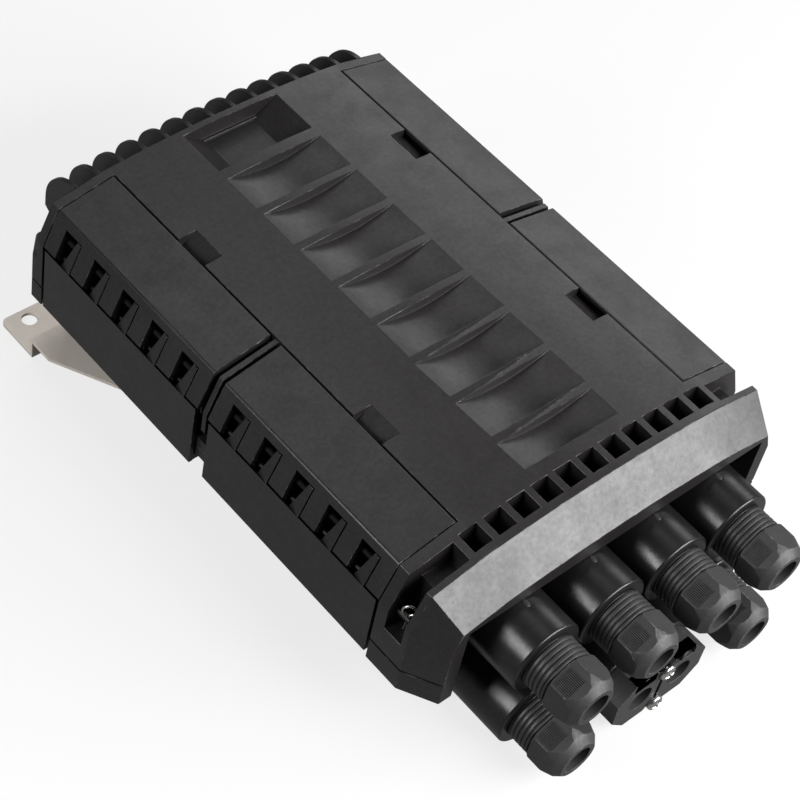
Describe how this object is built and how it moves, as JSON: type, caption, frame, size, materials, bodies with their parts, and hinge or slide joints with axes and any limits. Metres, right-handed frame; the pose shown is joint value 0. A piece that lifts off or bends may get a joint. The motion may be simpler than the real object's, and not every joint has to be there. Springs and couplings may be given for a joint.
{
  "type": "fibre splice closure",
  "caption": "Flat black moulded closure for splicing optical cables, with draw latches along both sides, screw glands at one end and a folded steel wall bracket.",
  "frame": {"origin": "midway between the two bracket ear holes, on the wall plane", "axes": "+Z away from the wall, +Y along the closure from the glands to the ears, +X across"},
  "size_m": [0.2364, 0.3847, 0.1168],
  "materials": {
    "black_shell": "satin moulded",
    "black_latch": "satin moulded",
    "black_gland": "smooth moulded",
    "dark_nut": "fine-ribbed matt moulding",
    "seal_rubber": "matt",
    "bright_steel": "bright",
    "bracket_steel": "rolled stainless sheet",
    "tray_plastic": "smooth moulded"
  },
  "bodies": {
    "shell": {"upper_shell": "black_shell", "lower_shell": "black_shell", "port_block": "black_gland", "seam_gasket": "seal_rubber", "port_gasket": "seal_rubber", "pivot_rod_right": "bright_steel", "pivot_rod_left": "bright_steel", "split_pins": "bright_steel", "gland_neck_1": "black_gland", "gland_seal_1": "seal_rubber", "gland_neck_2": "black_gland", "gland_seal_2": "seal_rubber", "gland_neck_3": "black_gland", "gland_seal_3": "seal_rubber", "gland_neck_4": "black_gland", "gland_seal_4": "seal_rubber", "gland_neck_5": "black_gland", "gland_seal_5": "seal_rubber", "gland_neck_6": "black_gland", "gland_seal_6": "seal_rubber", "oval_grommet": "seal_rubber", "clamp_half_right": "dark_nut", "clamp_half_left": "dark_nut", "clamp_screws": "bright_steel", "wall_bracket": "bracket_steel", "bracket_screws": "bright_steel", "tray_base": "bracket_steel", "splice_tray_1": "tray_plastic", "splice_tray_2": "tray_plastic", "splice_tray_3": "tray_plastic", "tray_lid": "tray_plastic", "splice_holders": "tray_plastic", "tray_studs": "bright_steel", "tray_nuts": "bright_steel", "base_screws": "bright_steel", "anchor_bar": "bracket_steel", "anchor_clamps": "bright_steel", "anchor_screws": "bright_steel"},
    "lever_far_right": {"latch_lever_far_right": "black_latch", "link_pin_far_right": "black_latch"},
    "link_far_right": {"latch_link_far_right": "black_latch"},
    "lever_far_left": {"latch_lever_far_left": "black_latch", "link_pin_far_left": "black_latch"},
    "link_far_left": {"latch_link_far_left": "black_latch"},
    "lever_near_right": {"latch_lever_near_right": "black_latch", "link_pin_near_right": "black_latch"},
    "link_near_right": {"latch_link_near_right": "black_latch"},
    "lever_near_left": {"latch_lever_near_left": "black_latch", "link_pin_near_left": "black_latch"},
    "link_near_left": {"latch_link_near_left": "black_latch"},
    "nut_1": {"gland_nut_1": "dark_nut"},
    "nut_2": {"gland_nut_2": "dark_nut"},
    "nut_3": {"gland_nut_3": "dark_nut"},
    "nut_4": {"gland_nut_4": "dark_nut"},
    "nut_5": {"gland_nut_5": "dark_nut"},
    "nut_6": {"gland_nut_6": "dark_nut"}
  },
  "joints": [
    {"name": "lever_swing_far_right", "type": "hinge", "parent": "shell", "child": "lever_far_right", "pos_m": [0.1085, -0.08745, 0.081], "axis": [0, 1, 0], "range_deg": [0, 100]},
    {"name": "link_swing_far_right", "type": "hinge", "parent": "lever_far_right", "child": "link_far_right", "pos_m": [0.1065, -0.08745, 0.092], "axis": [0, 1, 0], "range_deg": [-100, 0]},
    {"name": "lever_swing_far_left", "type": "hinge", "parent": "shell", "child": "lever_far_left", "pos_m": [-0.1085, -0.08745, 0.081], "axis": [0, -1, 0], "range_deg": [0, 100]},
    {"name": "link_swing_far_left", "type": "hinge", "parent": "lever_far_left", "child": "link_far_left", "pos_m": [-0.1065, -0.08745, 0.092], "axis": [0, -1, 0], "range_deg": [-100, 0]},
    {"name": "lever_swing_near_right", "type": "hinge", "parent": "shell", "child": "lever_near_right", "pos_m": [0.1085, -0.22055, 0.081], "axis": [0, 1, 0], "range_deg": [0, 100]},
    {"name": "link_swing_near_right", "type": "hinge", "parent": "lever_near_right", "child": "link_near_right", "pos_m": [0.1065, -0.22055, 0.092], "axis": [0, 1, 0], "range_deg": [-100, 0]},
    {"name": "lever_swing_near_left", "type": "hinge", "parent": "shell", "child": "lever_near_left", "pos_m": [-0.1085, -0.22055, 0.081], "axis": [0, -1, 0], "range_deg": [0, 100]},
    {"name": "link_swing_near_left", "type": "hinge", "parent": "lever_near_left", "child": "link_near_left", "pos_m": [-0.1065, -0.22055, 0.092], "axis": [0, -1, 0], "range_deg": [-100, 0]},
    {"name": "nut_turn_1", "type": "hinge", "parent": "shell", "child": "nut_1", "pos_m": [-0.06405, -0.3672, 0.07], "axis": [0, -1, 0], "continuous": true},
    {"name": "nut_turn_2", "type": "hinge", "parent": "shell", "child": "nut_2", "pos_m": [-0.02135, -0.3672, 0.07], "axis": [0, -1, 0], "continuous": true},
    {"name": "nut_turn_3", "type": "hinge", "parent": "shell", "child": "nut_3", "pos_m": [0.02135, -0.3672, 0.07], "axis": [0, -1, 0], "continuous": true},
    {"name": "nut_turn_4", "type": "hinge", "parent": "shell", "child": "nut_4", "pos_m": [0.06405, -0.3672, 0.07], "axis": [0, -1, 0], "continuous": true},
    {"name": "nut_turn_5", "type": "hinge", "parent": "shell", "child": "nut_5", "pos_m": [-0.061, -0.3672, 0.022], "axis": [0, -1, 0], "continuous": true},
    {"name": "nut_turn_6", "type": "hinge", "parent": "shell", "child": "nut_6", "pos_m": [0.061, -0.3672, 0.022], "axis": [0, -1, 0], "continuous": true}
  ],
  "couplings": [
    {"joint": "link_swing_far_right", "follows": "lever_swing_far_right", "ratio": -1},
    {"joint": "link_swing_far_left", "follows": "lever_swing_far_left", "ratio": -1},
    {"joint": "link_swing_near_right", "follows": "lever_swing_near_right", "ratio": -1},
    {"joint": "link_swing_near_left", "follows": "lever_swing_near_left", "ratio": -1}
  ]
}
